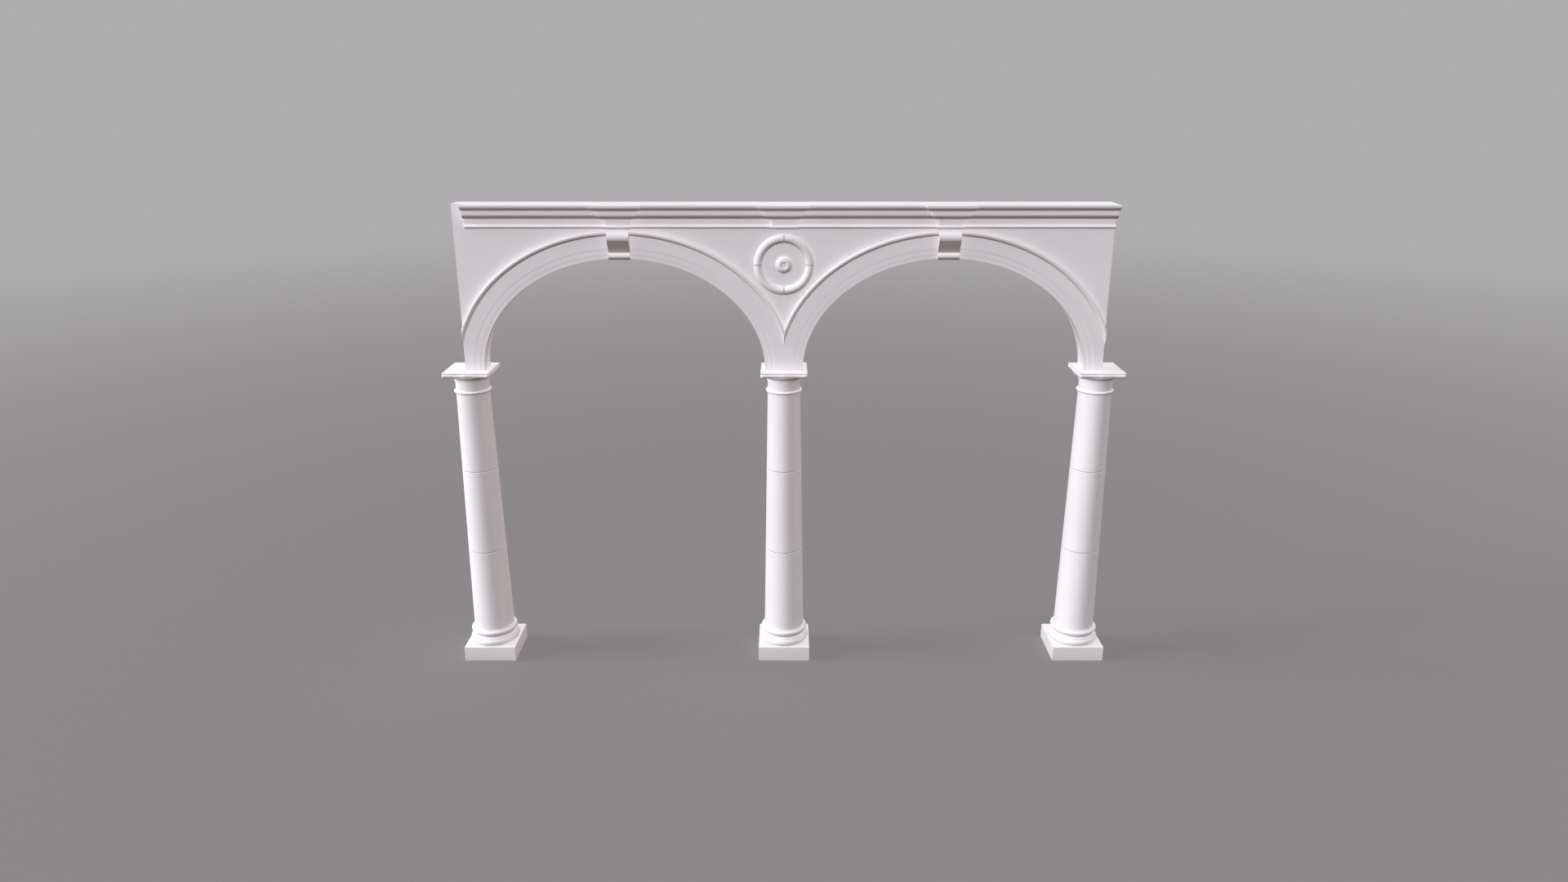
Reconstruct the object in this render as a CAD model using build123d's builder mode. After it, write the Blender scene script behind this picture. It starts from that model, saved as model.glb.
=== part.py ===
"""A free-standing arcade of two bays: three columns, two half-oval arches and a moulded entablature.

Millimetres. X runs along the arcade, the front faces -Y, Z is up from the ground,
and the origin is at the foot of the centre column, on its axis.
"""

import os
from math import acos, degrees, sqrt

from build123d import *

# The arcade as a whole
column_spacing = 3000.0
wall_thickness = 200.0
wall_overhang = 17.0
seat_gap = 0.3
overrun = 400.0

# Plinth
plinth_width = 514.0
plinth_height = 149.0

# Base: two rolls with a hollow between them, set apart by narrow fillets
lower_torus_radius = 243.0
lower_torus_height = 65.0
lower_torus_swell = 20.0
lower_fillet_radius = 222.0
lower_fillet_height = 8.0
scotia_radius = 205.0
scotia_height = 28.0
upper_fillet_radius = 212.0
upper_fillet_height = 7.0
upper_torus_radius = 230.0
upper_torus_height = 46.0
upper_torus_swell = 20.0
top_fillet_radius = 208.0
top_fillet_height = 8.0

# Shaft: three drums that taper evenly, with a half-round astragal at the top
shaft_foot_radius = 198.6
shaft_head_radius = 157.5
shaft_height = 2508.0
drum_height = 850.0
drum_arris = 5.0
astragal_radius = 176.0
astragal_height = 28.0
astragal_swell = 14.0

# Capital: neck, fillet, and a bell that flares out under the abacus
neck_height = 88.0
capital_fillet_radius = 165.0
capital_fillet_height = 13.0
bell_radius = 212.0
bell_height = 39.0
bell_lip_height = 7.5

# Abacus: a thin square plate over a prouder roll with two shallow scallops to a side
abacus_width = 440.0
abacus_plate_height = 10.0
abacus_roll_height = 40.0
abacus_roll_proud = 8.0
abacus_scallop_depth = 10.0
abacus_knob_radius = 24.0
abacus_roll_radius = 19.0

# Arches: half ovals that spring from the abaci, with stepped faces and a hood moulding round the outside
springer_width = 178.0
arch_rise = 1060.0
archivolt_width = 256.0
archivolt_proud = 15.0
inner_fascia_width = 40.0
middle_fascia_width = 52.0
fascia_step = 6.0
hood_width = 45.0
hood_proud = 29.0
hood_nose_radius = 11.0
hood_margin = 1.0
hood_foot_margin = 4.0
hood_fillet = 5.0
soffit_strip_width = 76.0
soffit_strip_depth = 6.0

# Keystones: a scroll with a round nose at the top, a slope back to a waist, and a small roll at the foot
keystone_width = 200.0
keystone_drop = 8.5
keystone_nose_proud = 105.0
keystone_nose_radius = 58.0
keystone_waist_proud = 18.0
keystone_roll_proud = 45.0
keystone_roll_radius = 32.0

# Roundel on the centre spandrel, part of the way down from the entablature to the spandrel's tip
roundel_drop_share = 0.358
ring_radius = 280.0
ring_width = 82.0
ring_joint = 9.0
boss_radius = 80.5
boss_proud = 36.0
dish_radius = 30.0
dish_depth = 7.0
button_radius = 10.0
button_proud = 7.0

# Entablature, from its underside up
crown_cover = 17.0
moulding_bead_radius = 17.0
frieze_proud = 15.0
frieze_height = 56.5
lower_ovolo_height = 36.0
fascia_proud = 85.0
fascia_height = 43.0
upper_ovolo_height = 33.0
lip_proud = 140.0
lip_height = 17.5
plain_end_width = 112.0
break_forward = 40.0
break_width = 185.0
break_block_margin = 20.0

# Levels and places that follow from the sizes above
base_height = (
    lower_torus_height
    + lower_fillet_height
    + scotia_height
    + upper_fillet_height
    + upper_torus_height
    + top_fillet_height
)
base_level = plinth_height
shaft_level = base_level + base_height
capital_level = shaft_level + shaft_height
abacus_level = capital_level + neck_height + capital_fillet_height + bell_height + bell_lip_height
springing_level = abacus_level + abacus_roll_height + abacus_plate_height
crown_level = springing_level + arch_rise
archivolt_head = crown_level + archivolt_width
entablature_level = archivolt_head + crown_cover
entablature_height = (
    2 * moulding_bead_radius
    + frieze_height
    + lower_ovolo_height
    + fascia_height
    + upper_ovolo_height
    + lip_height
)
entablature_head = entablature_level + entablature_height

wall_end = column_spacing + wall_overhang
wall_face = wall_thickness / 2
arch_centre = wall_end / 2
half_span = arch_centre - springer_width
archivolt_face = wall_face + archivolt_proud
hood_offset = archivolt_width - hood_margin - hood_width
quarter_share = sqrt(1 / 2)

column_places = {"left": -column_spacing, "centre": 0, "right": column_spacing}
arch_places = {"left": -arch_centre, "right": arch_centre}

# Where the hood moulding of an arch first reaches the wall's end: the springers stop there
hood_foot_rise_share = sqrt(1 - (arch_centre / (half_span + hood_offset)) ** 2)
springer_level = springing_level + (arch_rise + hood_offset) * hood_foot_rise_share - hood_foot_margin

# Where two archivolts part above the centre column: the centre spandrel's lower tip
tip_rise_share = sqrt(1 - (arch_centre / (half_span + archivolt_width)) ** 2)
spandrel_tip_level = springing_level + (arch_rise + archivolt_width) * tip_rise_share
roundel_level = entablature_level - (entablature_level - spandrel_tip_level) * roundel_drop_share

os.makedirs("parts", exist_ok=True)


def keep(piece, name):
    """Name a finished piece and write it to a file of its own."""
    piece.part.label = name
    export_step(piece.part, f"parts/{name}.step")


def column_section(column_x, level):
    """An upright plane through a column's axis: radius to the right, height upwards from the level."""
    return Plane(origin=(column_x, 0, level), x_dir=(1, 0, 0), z_dir=(0, -1, 0))


def roll(radius, swell, foot, height):
    """Draw a roll that swells out to the radius, and return the radius of its ends."""
    end_radius = radius - swell
    ThreePointArc((end_radius, foot), (radius, foot + height / 2), (end_radius, foot + height))
    return end_radius


# Plinths
for side, column_x in column_places.items():
    with BuildPart() as plinth:
        with BuildSketch(Plane.XY):
            with Locations((column_x, 0)):
                Rectangle(plinth_width, plinth_width)
        extrude(amount=plinth_height)
    keep(plinth, f"{side}_plinth")

# Bases, turned about the column's axis
scotia_foot = lower_torus_height + lower_fillet_height
upper_fillet_foot = scotia_foot + scotia_height
upper_torus_foot = upper_fillet_foot + upper_fillet_height
top_fillet_foot = upper_torus_foot + upper_torus_height
for side, column_x in column_places.items():
    with BuildPart() as base:
        with BuildSketch(column_section(column_x, base_level)):
            with BuildLine():
                lower_end = roll(lower_torus_radius, lower_torus_swell, 0, lower_torus_height)
                Polyline(
                    (lower_end, lower_torus_height),
                    (lower_fillet_radius, lower_torus_height),
                    (lower_fillet_radius, scotia_foot),
                )
                ThreePointArc(
                    (lower_fillet_radius, scotia_foot),
                    (scotia_radius, scotia_foot + scotia_height / 2),
                    (upper_fillet_radius, upper_fillet_foot),
                )
                upper_end = roll(
                    upper_torus_radius, upper_torus_swell, upper_torus_foot, upper_torus_height
                )
                Polyline(
                    (upper_fillet_radius, upper_fillet_foot),
                    (upper_fillet_radius, upper_torus_foot),
                    (upper_end, upper_torus_foot),
                )
                Polyline(
                    (upper_end, top_fillet_foot),
                    (top_fillet_radius, top_fillet_foot),
                    (top_fillet_radius, base_height),
                    (0, base_height),
                    (0, 0),
                    (lower_end, 0),
                )
            make_face()
        revolve(axis=Axis((column_x, 0, 0), (0, 0, 1)))
    keep(base, f"{side}_base")


def shaft_radius(height):
    """The shaft's radius at a height above its foot, on one even taper."""
    taper_height = shaft_height - astragal_height
    return shaft_foot_radius + (shaft_head_radius - shaft_foot_radius) * height / taper_height


# Shaft drums: the arrises are taken off where two drums meet, and the astragal is on the top one
upper_drum_foot = 2 * drum_height
astragal_foot = shaft_height - astragal_height
drum_spans = {
    "lower_drum": (0, drum_height),
    "middle_drum": (drum_height, upper_drum_foot),
    "upper_drum": (upper_drum_foot, shaft_height),
}
for side, column_x in column_places.items():
    for drum_name, (drum_foot, drum_head) in drum_spans.items():
        with BuildPart() as drum:
            with BuildSketch(column_section(column_x, shaft_level)):
                with BuildLine():
                    foot_radius = shaft_radius(drum_foot)
                    side_foot = (foot_radius, drum_foot)
                    if drum_foot > 0:
                        foot_radius -= drum_arris
                        side_foot = (shaft_radius(drum_foot + drum_arris), drum_foot + drum_arris)
                        Line((foot_radius, drum_foot), side_foot)
                    if drum_name == "upper_drum":
                        head_radius = roll(
                            astragal_radius, astragal_swell, astragal_foot, astragal_height
                        )
                        side_head = (shaft_head_radius, astragal_foot)
                        Line(side_head, (head_radius, astragal_foot))
                    else:
                        head_radius = shaft_radius(drum_head) - drum_arris
                        side_head = (shaft_radius(drum_head - drum_arris), drum_head - drum_arris)
                        Line(side_head, (head_radius, drum_head))
                    Line(side_foot, side_head)
                    Polyline(
                        (head_radius, drum_head), (0, drum_head), (0, drum_foot), (foot_radius, drum_foot)
                    )
                make_face()
            revolve(axis=Axis((column_x, 0, 0), (0, 0, 1)))
        keep(drum, f"{side}_{drum_name}")

# Capitals: neck, fillet and hollow-sided bell in one turned block
bell_foot = neck_height + capital_fillet_height
bell_head = bell_foot + bell_height
capital_head = bell_head + bell_lip_height
bell_spread = bell_radius - capital_fillet_radius
for side, column_x in column_places.items():
    with BuildPart() as capital:
        with BuildSketch(column_section(column_x, capital_level)):
            with BuildLine():
                Polyline(
                    (shaft_head_radius, 0),
                    (shaft_head_radius, neck_height),
                    (capital_fillet_radius, neck_height),
                    (capital_fillet_radius, bell_foot),
                )
                ThreePointArc(
                    (capital_fillet_radius, bell_foot),
                    (bell_radius - bell_spread * quarter_share, bell_foot + bell_height * quarter_share),
                    (bell_radius, bell_head),
                )
                Polyline(
                    (bell_radius, bell_head),
                    (bell_radius, capital_head),
                    (0, capital_head),
                    (0, 0),
                    (shaft_head_radius, 0),
                )
            make_face()
        revolve(axis=Axis((column_x, 0, 0), (0, 0, 1)))
    keep(capital, f"{side}_capital")

# Abaci: the scalloped roll below, the plain square plate on top
roll_half_width = abacus_width / 2 + abacus_roll_proud
for side, column_x in column_places.items():
    with BuildPart() as abacus:
        with BuildSketch(Plane((column_x, 0, abacus_level))):
            with BuildLine():
                for along, across in ((1, 0), (0, 1), (-1, 0), (0, -1)):
                    middle = Vector(across, -along) * roll_half_width
                    corner_step = Vector(along, across) * roll_half_width
                    SagittaArc(middle - corner_step, middle, abacus_scallop_depth)
                    SagittaArc(middle, middle + corner_step, abacus_scallop_depth)
            make_face()
        extrude(amount=abacus_roll_height)
        fillet(abacus.edges().filter_by(Axis.Z), abacus_knob_radius)
        roll_edges = abacus.faces().filter_by(Axis.Z).edges()
        fillet(roll_edges, abacus_roll_radius)
        with BuildSketch(Plane((column_x, 0, abacus_level + abacus_roll_height))):
            Rectangle(abacus_width, abacus_width)
        extrude(amount=abacus_plate_height)
    keep(abacus, f"{side}_abacus")


def arch_oval(arch_x, offset, mode):
    """The whole oval of an arch's intrados, grown by an offset, on the wall's upright plane."""
    with Locations((arch_x, springing_level)):
        Ellipse(half_span + offset, arch_rise + offset, mode=mode)


def block_face(left, right, foot, head):
    """An upright rectangle between two sides and two levels."""
    with Locations((left, foot)):
        Rectangle(right - left, head - foot, align=(Align.MIN, Align.MIN))


# Faces of the archivolt from the intrados outwards: where each fascia starts, and how far it is set back
fascia_faces = (
    (0, archivolt_face - 2 * fascia_step),
    (inner_fascia_width, archivolt_face - fascia_step),
    (inner_fascia_width + middle_fascia_width, archivolt_face),
)

# Springers: the stones on the abaci from which the arches start
springer_spans = {
    "left": (-wall_end, -arch_centre, ["left"]),
    "centre": (-arch_centre, arch_centre, ["left", "right"]),
    "right": (arch_centre, wall_end, ["right"]),
}
for side, (left, right, arches) in springer_spans.items():
    with BuildPart() as springer:
        for fascia_offset, fascia_face in fascia_faces:
            with BuildSketch(Plane.XZ):
                block_face(left, right, springing_level, springer_level)
                for arch in arches:
                    arch_oval(arch_places[arch], fascia_offset, Mode.SUBTRACT)
            extrude(amount=fascia_face, both=True)
        with BuildSketch(Plane.XZ):
            for arch in arches:
                arch_oval(arch_places[arch], soffit_strip_depth, Mode.ADD)
        extrude(amount=soffit_strip_width / 2, both=True, mode=Mode.SUBTRACT)
    keep(springer, f"{side}_springer")


def hood_section(hand):
    """Draw the hood moulding's section: a wide ovolo towards the opening and a small round nose outside.

    Its foot is at the origin, on the archivolt's face, and the hand turns it to the front or the back.
    """
    crest = hood_width - hood_nose_radius
    nose_foot = hood_proud - hood_nose_radius
    roll_height = hood_proud - hood_fillet
    ThreePointArc(
        (0, hand * hood_fillet),
        (crest * (1 - quarter_share), hand * (hood_fillet + roll_height * quarter_share)),
        (crest, hand * hood_proud),
    )
    ThreePointArc(
        (crest, hand * hood_proud),
        (crest + hood_nose_radius * quarter_share, hand * (nose_foot + hood_nose_radius * quarter_share)),
        (hood_width, hand * nose_foot),
    )
    Polyline(
        (hood_width, hand * nose_foot),
        (hood_width, -hand * archivolt_proud),
        (0, -hand * archivolt_proud),
        (0, hand * hood_fillet),
    )


# Archivolts: half an arch each, from the springer's bed to the keystone's side
archivolt_spans = {}
for side, arch_x in arch_places.items():
    key_left = arch_x - keystone_width / 2
    key_right = arch_x + keystone_width / 2
    archivolt_spans[f"{side}_arch_left"] = (arch_x, arch_x - arch_centre, key_left, 90, (0, 0, 1))
    archivolt_spans[f"{side}_arch_right"] = (arch_x, key_right, arch_x + arch_centre, 0, (1, 0, 0))
for half_name, (arch_x, left, right, start_angle, outwards) in archivolt_spans.items():
    with BuildPart() as archivolt:
        for fascia_offset, fascia_face in fascia_faces:
            with BuildSketch(Plane.XZ):
                block_face(left, right, springer_level, archivolt_head)
                arch_oval(arch_x, archivolt_width, Mode.INTERSECT)
                arch_oval(arch_x, fascia_offset, Mode.SUBTRACT)
            extrude(amount=fascia_face, both=True)
        with BuildSketch(Plane.XZ):
            arch_oval(arch_x, soffit_strip_depth, Mode.ADD)
        extrude(amount=soffit_strip_width / 2, both=True, mode=Mode.SUBTRACT)
        for hand in (-1, 1):
            with BuildLine(Plane.XZ.offset(-hand * archivolt_face)) as hood_path:
                EllipticalCenterArc(
                    (arch_x, springing_level),
                    half_span + hood_offset,
                    arch_rise + hood_offset,
                    start_angle,
                    arc_size=90,
                )
            with BuildSketch(Plane(hood_path.line @ 0, x_dir=outwards, z_dir=hood_path.line % 0)):
                with BuildLine():
                    hood_section(hand)
                make_face()
            sweep(path=hood_path.line)
        with BuildSketch(Plane.XZ):
            block_face(left, right, springer_level, archivolt_head)
        extrude(amount=overrun, both=True, mode=Mode.INTERSECT)
    keep(archivolt, f"{half_name}_archivolt")

# Keystones: the scroll outline seen from the side, as wide as the stone
key_foot = crown_level - keystone_drop
nose_depth = wall_face + keystone_nose_proud - keystone_nose_radius
nose_centre = Vector(-nose_depth, archivolt_head - keystone_nose_radius)
nose_top = nose_centre + Vector(0, keystone_nose_radius)
nose_front = nose_centre - Vector(keystone_nose_radius, 0)
roll_level = key_foot + keystone_roll_radius
roll_centre = -(wall_face + keystone_roll_proud - keystone_roll_radius)
waist_front = -(wall_face + keystone_waist_proud)
waist_level = roll_level + sqrt(keystone_roll_radius**2 - (waist_front - roll_centre) ** 2)
waist = Vector(waist_front, waist_level)
nose_to_waist = waist - nose_centre
tangent_turn = degrees(acos(keystone_nose_radius / nose_to_waist.length))
nose_foot = nose_centre + nose_to_waist.normalized().rotate(Axis.Z, -tangent_turn) * keystone_nose_radius
for side, arch_x in arch_places.items():
    with BuildPart() as keystone:
        with BuildSketch(Plane.YZ.offset(arch_x)):
            with BuildLine():
                ThreePointArc(nose_top, nose_front, nose_foot)
                Line(nose_foot, waist)
                ThreePointArc(
                    waist, (roll_centre - keystone_roll_radius, roll_level), (roll_centre, key_foot)
                )
                Polyline(
                    (roll_centre, key_foot),
                    (archivolt_face, key_foot),
                    (archivolt_face, entablature_level),
                    (-archivolt_face, entablature_level),
                    (-archivolt_face, archivolt_head),
                    nose_top,
                )
            make_face()
        extrude(amount=keystone_width / 2, both=True)
    keep(keystone, f"{side}_keystone")

# Spandrels: the flat wall between the arches and the entablature
spandrel_spans = {
    "left": (-wall_end, -arch_centre - keystone_width / 2, ["left"]),
    "centre": (keystone_width / 2 - arch_centre, arch_centre - keystone_width / 2, ["left", "right"]),
    "right": (arch_centre + keystone_width / 2, wall_end, ["right"]),
}
for side, (left, right, arches) in spandrel_spans.items():
    with BuildPart() as spandrel:
        with BuildSketch(Plane.XZ):
            block_face(left, right, springer_level, entablature_level)
            for arch in arches:
                arch_oval(arch_places[arch], archivolt_width + seat_gap, Mode.SUBTRACT)
        extrude(amount=wall_face, both=True)
    keep(spandrel, f"{side}_spandrel")

# Roundel: a half-round ring in four quarters, and a domed boss with a small dish and button
roundel_plane = Plane((0, -wall_face, roundel_level))
roundel_axis = Axis((0, 0, roundel_level), (0, 1, 0))
with BuildPart() as ring:
    with BuildSketch(roundel_plane):
        with BuildLine():
            ring_middle = ring_radius - ring_width / 2
            ThreePointArc(
                (ring_radius - ring_width, 0), (ring_middle, -ring_width / 2), (ring_radius, 0)
            )
            Line((ring_radius, 0), (ring_radius - ring_width, 0))
        make_face()
    revolve(axis=roundel_axis)
    with BuildSketch(Plane.XZ.offset(wall_face)):
        with Locations((0, roundel_level)):
            Rectangle(2 * ring_radius + ring_joint, ring_joint)
            Rectangle(ring_joint, 2 * ring_radius + ring_joint)
    extrude(amount=ring_width, mode=Mode.SUBTRACT)
keep(ring, "roundel_ring")

with BuildPart() as boss:
    with BuildSketch(roundel_plane):
        with BuildLine():
            dome_spread = boss_radius - dish_radius
            dish_floor = dish_depth - boss_proud
            ThreePointArc(
                (boss_radius, 0),
                (dish_radius + dome_spread * quarter_share, -boss_proud * quarter_share),
                (dish_radius, -boss_proud),
            )
            TangentArc((button_radius, dish_floor), (dish_radius, -boss_proud), tangent=(1, 0))
            TangentArc((0, dish_floor - button_proud), (button_radius, dish_floor), tangent=(1, 0))
            Polyline((0, dish_floor - button_proud), (0, 0), (boss_radius, 0))
        make_face()
    revolve(axis=roundel_axis)
keep(boss, "roundel_boss")


def ovolo(place, foot, head):
    """Draw a rounded moulding that swells out from its foot to its head."""
    spread = head[0] - foot[0]
    height = head[1] - foot[1]
    belly = place(foot[0] + spread * quarter_share, head[1] - height * quarter_share)
    ThreePointArc(place(*foot), belly, place(*head))


def moulded_edge(place):
    """Draw the entablature's moulded edge from its underside to its top.

    place turns a height above the underside and a distance proud of the wall into a point.
    """
    bead_head = 2 * moulding_bead_radius
    lower_ovolo_foot = bead_head + frieze_height
    fascia_foot = lower_ovolo_foot + lower_ovolo_height
    upper_ovolo_foot = fascia_foot + fascia_height
    lip_foot = upper_ovolo_foot + upper_ovolo_height
    ThreePointArc(
        place(frieze_proud, 0),
        place(frieze_proud + moulding_bead_radius, moulding_bead_radius),
        place(frieze_proud, bead_head),
    )
    Line(place(frieze_proud, bead_head), place(frieze_proud, lower_ovolo_foot))
    ovolo(place, (frieze_proud, lower_ovolo_foot), (fascia_proud, fascia_foot))
    Line(place(fascia_proud, fascia_foot), place(fascia_proud, upper_ovolo_foot))
    ovolo(place, (fascia_proud, upper_ovolo_foot), (lip_proud, lip_foot))
    Line(place(lip_proud, lip_foot), place(lip_proud, entablature_height))


def front_section(forward):
    """Draw the entablature's whole section: moulded front, flat top, back and underside."""

    def place(proud, height):
        return (-(wall_face + forward + proud), entablature_level + height)

    moulded_edge(place)
    Polyline(
        place(lip_proud, entablature_height),
        (wall_face, entablature_head),
        (wall_face, entablature_level),
        place(frieze_proud, 0),
    )


def moulded_run(left, right):
    """Add a straight length of the entablature between two places along the wall."""
    with BuildSketch(Plane.YZ.offset(left)) as run_section:
        with BuildLine():
            front_section(0)
        make_face()
    extrude(run_section.sketch, amount=right - left)


# Entablature blocks that break forward over the keystones and the roundel
break_places = {"left_key": -arch_centre, "centre": 0, "right_key": arch_centre}
break_half_width = break_width / 2
block_half_width = break_half_width + lip_proud + break_block_margin
for break_name, break_x in break_places.items():
    with BuildPart() as break_block:
        with BuildSketch(Plane.YZ.offset(break_x)):
            with BuildLine():
                front_section(break_forward)
            make_face()
        extrude(amount=block_half_width, both=True)
        with BuildSketch(Plane.XZ):
            with BuildLine():
                for hand in (-1, 1):
                    moulded_edge(
                        lambda proud, height: (
                            break_x + hand * (break_half_width + proud),
                            entablature_level + height,
                        )
                    )
                for proud, height in ((frieze_proud, 0), (lip_proud, entablature_height)):
                    level = entablature_level + height
                    reach = break_half_width + proud
                    Line((break_x - reach, level), (break_x + reach, level))
            make_face()
        extrude(amount=overrun, both=True, mode=Mode.INTERSECT)
        moulded_run(break_x - block_half_width, break_x + block_half_width)
    keep(break_block, f"entablature_{break_name}_break")

# Straight entablature runs between those blocks, and the plain block at the left end
plain_end = plain_end_width - wall_end
run_spans = {
    "left_outer": (plain_end, -arch_centre - block_half_width),
    "left_inner": (block_half_width - arch_centre, -block_half_width),
    "right_inner": (block_half_width, arch_centre - block_half_width),
    "right_outer": (arch_centre + block_half_width, wall_end),
}
for run_name, (left, right) in run_spans.items():
    with BuildPart() as run:
        moulded_run(left, right)
    keep(run, f"entablature_{run_name}_run")

with BuildPart() as end_block:
    with BuildSketch(Plane.XZ):
        block_face(-wall_end, plain_end, entablature_level, entablature_head)
    extrude(amount=wall_face, both=True)
keep(end_block, "entablature_left_end")
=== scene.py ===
"""The looks of a two-bay arcade in smooth pale limestone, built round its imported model, in metres."""

import math

import bpy
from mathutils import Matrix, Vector


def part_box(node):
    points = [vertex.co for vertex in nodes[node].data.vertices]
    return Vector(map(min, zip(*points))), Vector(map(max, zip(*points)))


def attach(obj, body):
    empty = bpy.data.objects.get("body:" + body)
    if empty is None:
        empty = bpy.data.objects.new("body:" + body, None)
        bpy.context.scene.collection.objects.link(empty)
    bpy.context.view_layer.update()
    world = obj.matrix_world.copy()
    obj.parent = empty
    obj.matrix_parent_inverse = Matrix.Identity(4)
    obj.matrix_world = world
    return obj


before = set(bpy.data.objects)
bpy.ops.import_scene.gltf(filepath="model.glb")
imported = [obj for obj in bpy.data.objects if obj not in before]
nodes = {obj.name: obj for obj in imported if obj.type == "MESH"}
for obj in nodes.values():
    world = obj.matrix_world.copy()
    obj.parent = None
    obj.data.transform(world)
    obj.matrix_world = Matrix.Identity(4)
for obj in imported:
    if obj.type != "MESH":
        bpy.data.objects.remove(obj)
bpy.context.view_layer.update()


# Plinths: square blocks of limestone, sawn and rubbed smooth, that stand straight on the ground.
# Each carries one column on a thin bed of mortar, and its foot takes up a little dust.
class Link:
    """One socket of a node tree. Sums and products of links add the Math nodes that they need."""

    def __init__(self, tree, socket=None):
        self.tree = tree
        self.socket = socket

    def add(self, kind, inputs, output=0, **settings):
        """Add a node of any kind: its settings first, then a value or a link for each input."""
        node = self.tree.nodes.new(kind)
        for setting, value in settings.items():
            setattr(node, setting, value)
        for name, value in inputs.items():
            if isinstance(value, Link):
                self.tree.links.new(value.socket, node.inputs[name])
            else:
                node.inputs[name].default_value = value
        return Link(self.tree, None if output is None else node.outputs[output])

    def maths(self, operation, first, second):
        return self.add("ShaderNodeMath", {0: first, 1: second}, operation=operation)

    def __add__(self, other):
        return self.maths("ADD", self, other)

    __radd__ = __add__

    def __sub__(self, other):
        return self.maths("SUBTRACT", self, other)

    def __rsub__(self, other):
        return self.maths("SUBTRACT", other, self)

    def __mul__(self, other):
        return self.maths("MULTIPLY", self, other)

    __rmul__ = __mul__

    def between(self, low, high):
        """Nought below the low value, one above the high value, and a smooth rise between them."""
        wanted = {"Value": self, "From Min": low, "From Max": high}
        return self.add("ShaderNodeMapRange", wanted, interpolation_type="SMOOTHSTEP")

    def blend(self, first, second):
        """A colour between two others, with this link as the share of the second."""
        share_socket, first_socket, second_socket, result_socket = 0, 6, 7, 2
        wanted = {share_socket: self, first_socket: first, second_socket: second}
        return self.add("ShaderNodeMix", wanted, output=result_socket, data_type="RGBA")


# The tone of dust, used also for the painted shade in hollows and on undersides.
dust_and_shade_tone = (0.45, 0.385, 0.345, 1)
fresh_tone = (0.86, 0.84, 0.85, 1)


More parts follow.
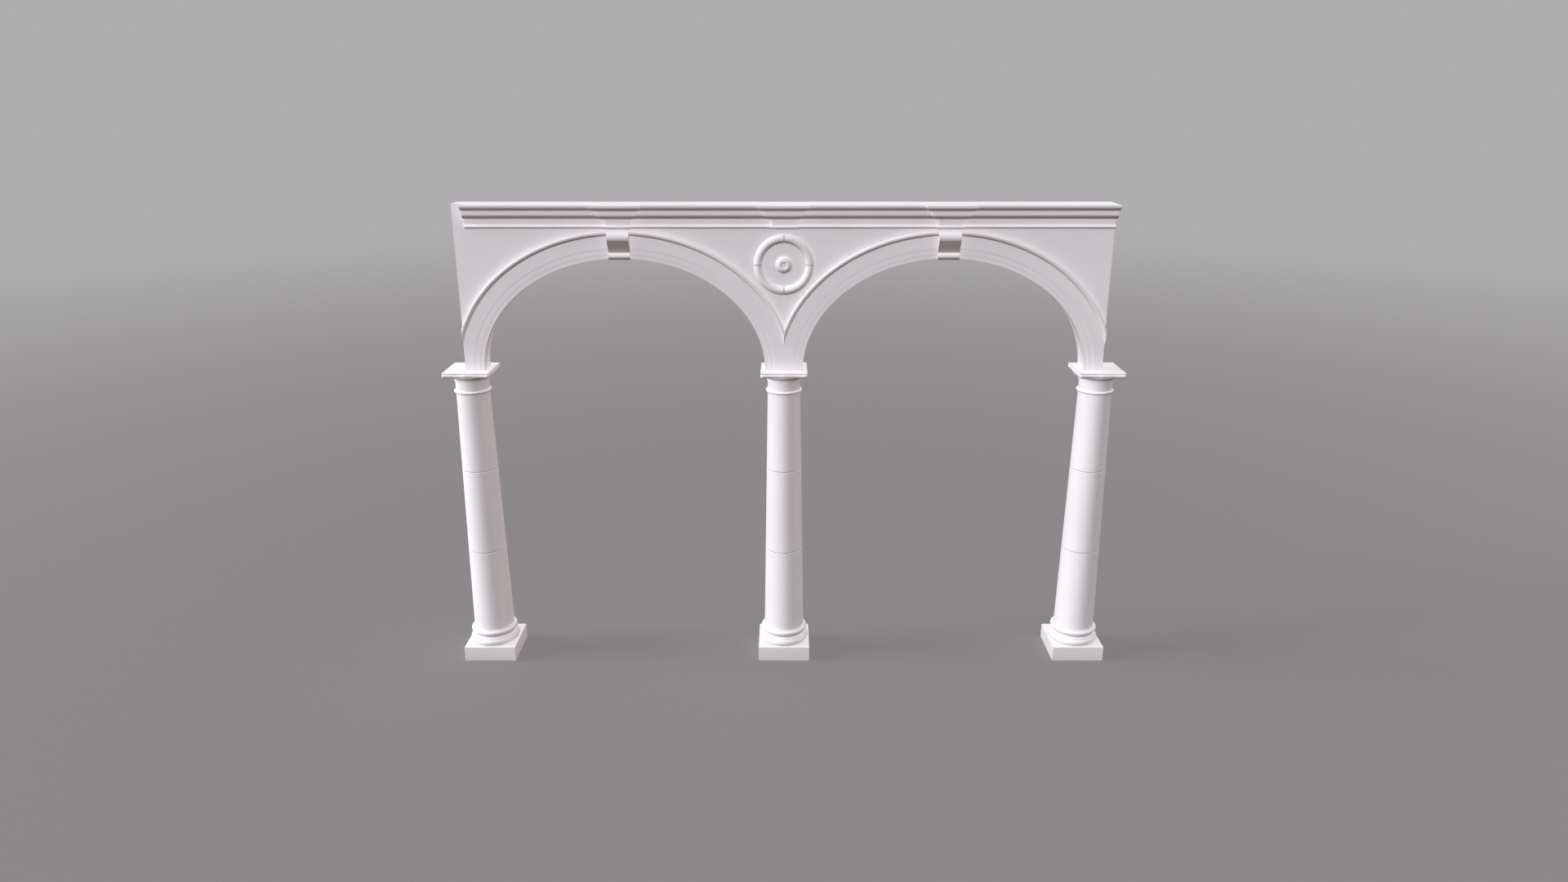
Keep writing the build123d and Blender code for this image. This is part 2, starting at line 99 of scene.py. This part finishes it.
def limestone(name, stone, shade, cloud_size, grain_size, arris_radius, streak_share=0.0, foot_dust=0.0):
    """Pale limestone: clouds, grain, pores, paler arrises, dust, and painted shade in hollows and
    underneath.
    """
    material = bpy.data.materials.new(name)
    material.use_nodes = True
    tree = material.node_tree
    surface = tree.nodes["Principled BSDF"]
    start = Link(tree)
    place = start.add("ShaderNodeTexCoord", {}, output="Object")

    # Soft clouds, and the fine grain of the stone
    noise_detail = 4.0
    cloud_crispness = 0.55
    grain_crispness = 0.65
    clouds = start.add(
        "ShaderNodeTexNoise",
        {"Vector": place, "Scale": 1 / cloud_size, "Detail": noise_detail, "Roughness": cloud_crispness},
    )
    grain = start.add(
        "ShaderNodeTexNoise",
        {"Vector": place, "Scale": 1 / grain_size, "Detail": noise_detail, "Roughness": grain_crispness},
    )

    # Pores, a few grains apart, in patches that follow the clouds
    pore_spacing = 3 * grain_size
    pore_core_share = 0.06
    pore_rim_share = 0.14
    pore_patches = (0.42, 0.62)
    pore_centres = start.add(
        "ShaderNodeTexVoronoi", {"Vector": place, "Scale": 1 / pore_spacing}, output="Distance"
    )
    pores = (1 - pore_centres.between(pore_core_share, pore_rim_share)) * clouds.between(*pore_patches)

    # Streaks of rain, narrow across and long down the face
    streaks_in_a_metre = (11.0, 11.0, 0.55)
    streak_detail = 3.0
    streak_range = (0.5, 0.78)
    falling = start.add("ShaderNodeMapping", {"Vector": place, "Scale": streaks_in_a_metre})
    streaks = start.add("ShaderNodeTexNoise", {"Vector": falling, "Scale": 1.0, "Detail": streak_detail})

    # Painted shade in hollows and on undersides; dust at the foot and in the pores
    hollow_reach = 0.05
    hollow_range = (0.25, 0.9)
    hollow_least_share = 0.45
    underside_range = (-0.65, 0.0)
    foot_height = 0.16
    hollow_shade_share = 0.25
    underside_shade_share = 0.3
    pore_dust = 0.3
    open_air = start.add("ShaderNodeAmbientOcclusion", {"Distance": hollow_reach}, output="AO", samples=4)
    hollow_patches = hollow_least_share + (1 - hollow_least_share) * clouds
    # Painted shade: the stone is darkened where nearby faces close it in
    hollow_shade = (1 - open_air.between(*hollow_range)) * hollow_patches
    face = start.add("ShaderNodeNewGeometry", {}, output="Normal")
    upward = start.add("ShaderNodeSeparateXYZ", {"Vector": face}, output="Z")
    # Painted shade on faces that look downward, darker the more they face the ground
    underside_shade = 1 - upward.between(*underside_range)
    height = start.add("ShaderNodeSeparateXYZ", {"Vector": place}, output="Z")
    foot = 1 - height.between(0.0, foot_height)
    dust_and_shade = (
        hollow_shade * hollow_shade_share
        + underside_shade * (underside_shade_share + underside_shade_share * clouds)
        + foot * foot_dust * grain
        + pores * pore_dust
    )

    # Arrises rubbed round, with fresh stone where they are worn
    arris_range = (0.72, 0.98)
    wear_patches = (0.3, 0.6)
    wear_share = 0.55
    soft_edge = start.add("ShaderNodeBevel", {"Radius": arris_radius}, output="Normal", samples=4)
    flatness = start.add("ShaderNodeVectorMath", {0: soft_edge, 1: face}, "Value", operation="DOT_PRODUCT")
    worn = (1 - flatness.between(*arris_range)) * grain.between(*wear_patches)

    # Colour: stone mottled with its darker tone, then fresh arrises, then dust and painted shade over all
    cloud_range = (0.3, 0.75)
    cloud_share = 0.6
    grain_range = (0.4, 0.8)
    grain_share = 0.3
    mottle = clouds.between(*cloud_range) * cloud_share + grain.between(*grain_range) * grain_share
    weathering = mottle + streaks.between(*streak_range) * streak_share
    weathered = weathering.blend((*stone, 1), (*shade, 1))
    # The dust tone here also paints shade into the hollows and onto the undersides.
    colour = dust_and_shade.blend((worn * wear_share).blend(weathered, fresh_tone), dust_and_shade_tone)
    tree.links.new(colour.socket, surface.inputs["Base Color"])

    # A matt surface, rougher on the grain and in the pores
    stone_roughness = 0.58
    grain_roughness = 0.18
    pore_roughness = 0.15
    stone_shine = 0.3
    roughness = stone_roughness + grain * grain_roughness + pores * pore_roughness
    tree.links.new(roughness.socket, surface.inputs["Roughness"])
    surface.inputs["Specular IOR Level"].default_value = stone_shine

    # Relief: the grain stands up, and the pores are sunk
    pore_depth = 2.5
    grain_height = grain_size / 12
    relief_strength = 0.4
    bump = start.add(
        "ShaderNodeBump",
        {
            "Height": grain - pores * pore_depth,
            "Strength": relief_strength,
            "Distance": grain_height,
            "Normal": soft_edge,
        },
        output="Normal",
    )
    tree.links.new(bump.socket, surface.inputs["Normal"])
    return material


def dress(names, material):
    """Give nodes of the model their finish."""
    for name in names:
        nodes[name].data.materials.clear()
        nodes[name].data.materials.append(material)


sides = ("left", "centre", "right")
plinth_stone = limestone(
    "sawn plinth stone",
    stone=(0.80, 0.778, 0.798),
    shade=(0.73, 0.705, 0.715),
    cloud_size=0.45,
    grain_size=0.011,
    arris_radius=0.005,
    foot_dust=0.3,
)
dress([f"{side}_plinth" for side in sides], plinth_stone)

# Bases: rings of limestone turned to two rolls with a hollow between them.
# Each is bedded on its plinth, and painted shade darkens the hollow and the narrow fillets.
base_stone = limestone(
    "turned base stone",
    stone=(0.80, 0.778, 0.798),
    shade=(0.735, 0.71, 0.722),
    cloud_size=0.35,
    grain_size=0.007,
    arris_radius=0.003,
)
dress([f"{side}_base" for side in sides], base_stone)

# Shafts: three drums of limestone to a column, turned to one even taper.
# They are bedded on each other, with the arrises cut off at the joints, and faintly streaked by rain.
shaft_stone = limestone(
    "turned shaft stone",
    stone=(0.81, 0.788, 0.808),
    shade=(0.745, 0.72, 0.732),
    cloud_size=0.7,
    grain_size=0.008,
    arris_radius=0.003,
    streak_share=0.15,
)
dress([f"{side}_{drum}_drum" for side in sides for drum in ("lower", "middle", "upper")], shaft_stone)

# Shaft joints: beds of lime mortar between the drums, struck back while they are soft.
# Each shows as a thin round bead at the bottom of the groove that the cut arrises leave.
mortar = limestone(
    "lime mortar",
    stone=(0.37, 0.34, 0.32),
    shade=(0.30, 0.272, 0.253),
    cloud_size=0.12,
    grain_size=0.004,
    arris_radius=0.001,
)
mortar_bead = 0.0032
ring_steps = 96
bead_steps = 8

ring_tree = bpy.data.node_groups.new("mortar rings", "GeometryNodeTree")
ring_sizes = ("Spacing", "Level", "Ring Radius", "Bead Radius")
for size in ring_sizes:
    ring_tree.interface.new_socket(size, in_out="INPUT", socket_type="NodeSocketFloat")
ring_tree.interface.new_socket("Mortar", in_out="INPUT", socket_type="NodeSocketMaterial")
ring_tree.interface.new_socket("Geometry", in_out="OUTPUT", socket_type="NodeSocketGeometry")
ring_start = Link(ring_tree)
ring_given = {size: ring_start.add("NodeGroupInput", {}, output=size) for size in (*ring_sizes, "Mortar")}
first_column = ring_start.add(
    "ShaderNodeCombineXYZ", {"X": 0 - ring_given["Spacing"], "Z": ring_given["Level"]}
)
next_column = ring_start.add("ShaderNodeCombineXYZ", {"X": ring_given["Spacing"]})
column_points = ring_start.add(
    "GeometryNodeMeshLine", {"Count": len(sides), "Start Location": first_column, "Offset": next_column}
)
ring_path = ring_start.add(
    "GeometryNodeCurvePrimitiveCircle", {"Resolution": ring_steps, "Radius": ring_given["Ring Radius"]}
)
bead_section = ring_start.add(
    "GeometryNodeCurvePrimitiveCircle", {"Resolution": bead_steps, "Radius": ring_given["Bead Radius"]}
)
bead = ring_start.add("GeometryNodeCurveToMesh", {"Curve": ring_path, "Profile Curve": bead_section})
placed_rings = ring_start.add("GeometryNodeInstanceOnPoints", {"Points": column_points, "Instance": bead})
whole_rings = ring_start.add("GeometryNodeRealizeInstances", {"Geometry": placed_rings})
finished_rings = ring_start.add(
    "GeometryNodeSetMaterial", {"Geometry": whole_rings, "Material": ring_given["Mortar"]}
)
ring_start.add("NodeGroupOutput", {"Geometry": finished_rings}, output=None)


def grown(name, tree, values):
    """Run a tree of Geometry Nodes and keep what it makes as a plain mesh piece."""
    piece = bpy.data.objects.new(name, bpy.data.meshes.new(name))
    bpy.context.scene.collection.objects.link(piece)
    growth = piece.modifiers.new("growth", "NODES")
    growth.node_group = tree
    for socket in tree.interface.items_tree:
        if socket.in_out == "INPUT":
            growth[socket.identifier] = values[socket.name]
    graph = bpy.context.evaluated_depsgraph_get()
    made = bpy.data.meshes.new_from_object(piece.evaluated_get(graph))
    piece.modifiers.clear()
    piece.data = made
    return piece


def head_radius(name):
    """The radius of a drum's top face, from the farthest points of its rim."""
    hair = 0.0002
    low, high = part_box(name)
    axis_x = (low.x + high.x) / 2
    rim = [corner.co for corner in nodes[name].data.vertices if high.z - corner.co.z < hair]
    return max(math.hypot(point.x - axis_x, point.y) for point in rim)


plinth_low, plinth_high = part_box("right_plinth")
column_spacing = (plinth_low.x + plinth_high.x) / 2
for drum in ("lower", "middle"):
    joint_mortar = grown(
        f"{drum}_joint_mortar",
        ring_tree,
        {
            "Spacing": column_spacing,
            "Level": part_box(f"right_{drum}_drum")[1].z,
            "Ring Radius": head_radius(f"right_{drum}_drum"),
            "Bead Radius": mortar_bead,
            "Mortar": mortar,
        },
    )
    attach(joint_mortar, "root")

# Capitals: neck, fillet and hollow bell, turned from one block of the same limestone as the bases.
# Each is bedded on the shaft's astragal.
dress([f"{side}_capital" for side in sides], base_stone)

# Abaci: thin square slabs of limestone, a plain plate over a roll that is scalloped by hand.
# They are bedded on the capitals and carry the springers.
abacus_stone = limestone(
    "carved abacus stone",
    stone=(0.81, 0.788, 0.808),
    shade=(0.74, 0.715, 0.727),
    cloud_size=0.3,
    grain_size=0.007,
    arris_radius=0.004,
)
dress([f"{side}_abacus" for side in sides], abacus_stone)

# Springers: the first stones of the arches, cut to the curve and bedded flat on the abaci.
# They carry the archivolts' stepped faces on down.
arch_stone = limestone(
    "dressed arch stone",
    stone=(0.80, 0.778, 0.798),
    shade=(0.735, 0.71, 0.722),
    cloud_size=0.6,
    grain_size=0.009,
    arris_radius=0.003,
    streak_share=0.1,
)
dress([f"{side}_springer" for side in sides], arch_stone)

# Archivolts: curved limestone, two halves to an arch, with stepped faces and a hood moulding.
# They lean on the springers and are locked by the keystones.
halves = [f"{side}_arch_{half}_archivolt" for side in ("left", "right") for half in ("left", "right")]
dress(halves, arch_stone)

# Keystones: blocks of limestone carved to a scroll in front, driven in at the crowns of the arches.
# They stand proud of the archivolts and reach up to the entablature.
dress([f"{side}_keystone" for side in ("left", "right")], arch_stone)

# Spandrels: the flat wall over the arches, built up of rubble and rendered smooth in lime.
# The render is washed white, and rain draws faint streaks down it.
wall_render = limestone(
    "limewashed wall",
    stone=(0.80, 0.778, 0.798),
    shade=(0.74, 0.717, 0.73),
    cloud_size=0.8,
    grain_size=0.012,
    arris_radius=0.003,
    streak_share=0.12,
)
dress([f"{side}_spandrel" for side in sides], wall_render)

# Roundel: a half-round limestone ring in four quarters and a domed boss with a small dished button.
# They are pinned to the centre spandrel.
dress(["roundel_ring", "roundel_boss"], base_stone)

# Roundel joints: lime mortar between the four quarters of the ring.
# It fills each joint to a little below the roll, and its back is bedded in the wall.
joint_width = 0.009
joint_depth = 0.006
quarters = 4
mortar_sides = 32
upright = (math.radians(90), 0, 0)

quarter_tree = bpy.data.node_groups.new("roundel joints", "GeometryNodeTree")
quarter_sizes = ("Ring Radius", "Roll Radius", "Joint Width")
for size in quarter_sizes:
    quarter_tree.interface.new_socket(size, in_out="INPUT", socket_type="NodeSocketFloat")
quarter_tree.interface.new_socket("Centre", in_out="INPUT", socket_type="NodeSocketVector")
quarter_tree.interface.new_socket("Mortar", in_out="INPUT", socket_type="NodeSocketMaterial")
quarter_tree.interface.new_socket("Geometry", in_out="OUTPUT", socket_type="NodeSocketGeometry")
quarter_start = Link(quarter_tree)
quarter_given = {
    size: quarter_start.add("NodeGroupInput", {}, output=size)
    for size in (*quarter_sizes, "Centre", "Mortar")
}
joint_points = quarter_start.add(
    "GeometryNodeCurvePrimitiveCircle", {"Resolution": quarters, "Radius": quarter_given["Ring Radius"]}
)
joint_fill = quarter_start.add(
    "GeometryNodeMeshCylinder",
    {
        "Vertices": mortar_sides,
        "Radius": quarter_given["Roll Radius"],
        "Depth": quarter_given["Joint Width"],
    },
)
along_ring = quarter_start.add(
    "FunctionNodeAlignRotationToVector",
    {"Vector": quarter_start.add("GeometryNodeInputTangent", {})},
    axis="Z",
)
placed_joints = quarter_start.add(
    "GeometryNodeInstanceOnPoints", {"Points": joint_points, "Instance": joint_fill, "Rotation": along_ring}
)
upright_joints = quarter_start.add(
    "GeometryNodeTransform",
    {"Geometry": placed_joints, "Translation": quarter_given["Centre"], "Rotation": upright},
)
whole_joints = quarter_start.add("GeometryNodeRealizeInstances", {"Geometry": upright_joints})
finished_joints = quarter_start.add(
    "GeometryNodeSetMaterial", {"Geometry": whole_joints, "Material": quarter_given["Mortar"]}
)
quarter_start.add("NodeGroupOutput", {"Geometry": finished_joints}, output=None)

ring_low, ring_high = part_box("roundel_ring")
roll_radius = ring_high.y - ring_low.y
roundel_mortar = grown(
    "roundel_joint_mortar",
    quarter_tree,
    {
        "Ring Radius": (ring_high.x - ring_low.x) / 2 - roll_radius,
        "Roll Radius": roll_radius - joint_depth,
        "Joint Width": joint_width,
        "Centre": (0, ring_high.y, (ring_low.z + ring_high.z) / 2),
        "Mortar": mortar,
    },
)
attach(roundel_mortar, "root")

# Entablature: a course of moulded limestone blocks that caps the wall, bedded end to end.
# Three of them break forward over the keystones and the roundel, and rain streaks their faces.
entablature_stone = limestone(
    "moulded entablature stone",
    stone=(0.81, 0.788, 0.808),
    shade=(0.74, 0.715, 0.727),
    cloud_size=0.7,
    grain_size=0.009,
    arris_radius=0.003,
    streak_share=0.18,
)
dress([name for name in nodes if name.startswith("entablature_")], entablature_stone)

# Floor: a wide plain sheet of pale grey board, laid under the arcade as in a studio.
# Far off it runs into an even backdrop of a like tone, so that no horizon shows, and
# light that the board throws back up is weak and warm.
floor_reach = 120.0
fade_start = 4.0
fade_end = 40.0
board_tone = (0.215, 0.207, 0.207, 1)
bounce_tone = (0.085, 0.054, 0.042, 1)
backdrop_tone = (0.43, 0.42, 0.43, 1)
floor_mesh = bpy.data.meshes.new("floor")
floor_corners = [(-floor_reach, -floor_reach, 0), (floor_reach, -floor_reach, 0)]
floor_corners += [(floor_reach, floor_reach, 0), (-floor_reach, floor_reach, 0)]
floor_mesh.from_pydata(floor_corners, [], [(0, 1, 2, 3)])
floor = bpy.data.objects.new("floor", floor_mesh)
bpy.context.scene.collection.objects.link(floor)
floor_board = bpy.data.materials.new("pale grey board")
floor_board.use_nodes = True
floor_board.node_tree.nodes.clear()
board = Link(floor_board.node_tree)
board_place = board.add("ShaderNodeTexCoord", {}, output="Object")
board_distance = board.add("ShaderNodeVectorMath", {0: board_place}, output="Value", operation="LENGTH")
pale_board = board.add("ShaderNodeBsdfDiffuse", {"Color": board_tone})
backdrop = board.add("ShaderNodeEmission", {"Color": backdrop_tone})
seen_board = board.add(
    "ShaderNodeMixShader", {0: board_distance.between(fade_start, fade_end), 1: pale_board, 2: backdrop}
)
dim_board = board.add("ShaderNodeBsdfDiffuse", {"Color": bounce_tone})
camera_ray = board.add("ShaderNodeLightPath", {}, output="Is Camera Ray")
board.add(
    "ShaderNodeOutputMaterial",
    {"Surface": board.add("ShaderNodeMixShader", {0: camera_ray, 1: dim_board, 2: seen_board})},
    output=None,
)
floor_mesh.materials.append(floor_board)

# Light: an even warm sky, brightest at eye level, and a broad lamp from the left that casts the shadows.
# Fills from the left, the front, the right and overhead set the tones of the faces and cast none.
# The camera sees the sky as the backdrop's own tone.
eye_level_light = (0.40, 0.38, 0.37, 1)
overhead_light = (0.26, 0.25, 0.245, 1)
world = bpy.data.worlds.new("even sky")
bpy.context.scene.world = world
world.use_nodes = True
sky = Link(world.node_tree)
sky_way = sky.add("ShaderNodeTexCoord", {}, output="Generated")
sky_height = sky.add("ShaderNodeSeparateXYZ", {"Vector": sky_way}, output="Z")
sky_light = sky_height.blend(eye_level_light, overhead_light)
sky_seen = sky.add("ShaderNodeLightPath", {}, output="Is Camera Ray")
sky_colour = sky_seen.blend(sky_light, backdrop_tone)
world.node_tree.links.new(sky_colour.socket, world.node_tree.nodes["Background"].inputs["Color"])


def lamp(name, left_of_front, elevation, strength, colour, spread=20, casts_shadow=False):
    """A soft distant lamp, placed by its angles to the left of the front and above the ground."""
    turn = math.radians(left_of_front)
    rise = math.radians(elevation)
    towards = Vector((-math.sin(turn) * math.cos(rise), -math.cos(turn) * math.cos(rise), math.sin(rise)))
    light = bpy.data.lights.new(name, "SUN")
    light.energy = strength
    light.color = colour
    light.angle = math.radians(spread)
    light.use_shadow = casts_shadow
    holder = bpy.data.objects.new(name, light)
    holder.rotation_mode = "QUATERNION"
    holder.rotation_quaternion = towards.to_track_quat("Z", "Y")
    bpy.context.scene.collection.objects.link(holder)


cool_white = (0.94, 0.955, 1.0)
warm_white = (1.0, 0.95, 0.93)
lamp(
    "key lamp",
    left_of_front=88,
    elevation=25,
    strength=1.55,
    colour=cool_white,
    spread=24,
    casts_shadow=True,
)
lamp("left fill", left_of_front=66, elevation=25, strength=1.9, colour=cool_white)
lamp("front fill", left_of_front=20, elevation=40, strength=1.27, colour=cool_white)
lamp("right fill", left_of_front=-110, elevation=14, strength=1.1, colour=warm_white)
lamp("top fill", left_of_front=0, elevation=90, strength=0.45, colour=cool_white)

# Camera: a view from the front and above, square to the wall, as far off as the picture was taken.
# Its angle of view is 45 degrees from top to bottom.
picture_width = 1920
picture_height = 1080
view_angle = 45.0
sensor_width = 36.0
camera_distance = 9.924
camera_height = 5.512
camera_pitch = 18.04
focal_pixels = picture_height / 2 / math.tan(math.radians(view_angle / 2))
camera_data = bpy.data.cameras.new("camera")
camera_data.sensor_width = sensor_width
camera_data.lens = sensor_width * focal_pixels / picture_width
camera = bpy.data.objects.new("camera", camera_data)
camera.location = (0, -camera_distance, camera_height)
camera.rotation_euler = (math.radians(90 - camera_pitch), 0, 0)
bpy.context.scene.collection.objects.link(camera)
bpy.context.scene.camera = camera
bpy.context.scene.view_settings.view_transform = "Standard"
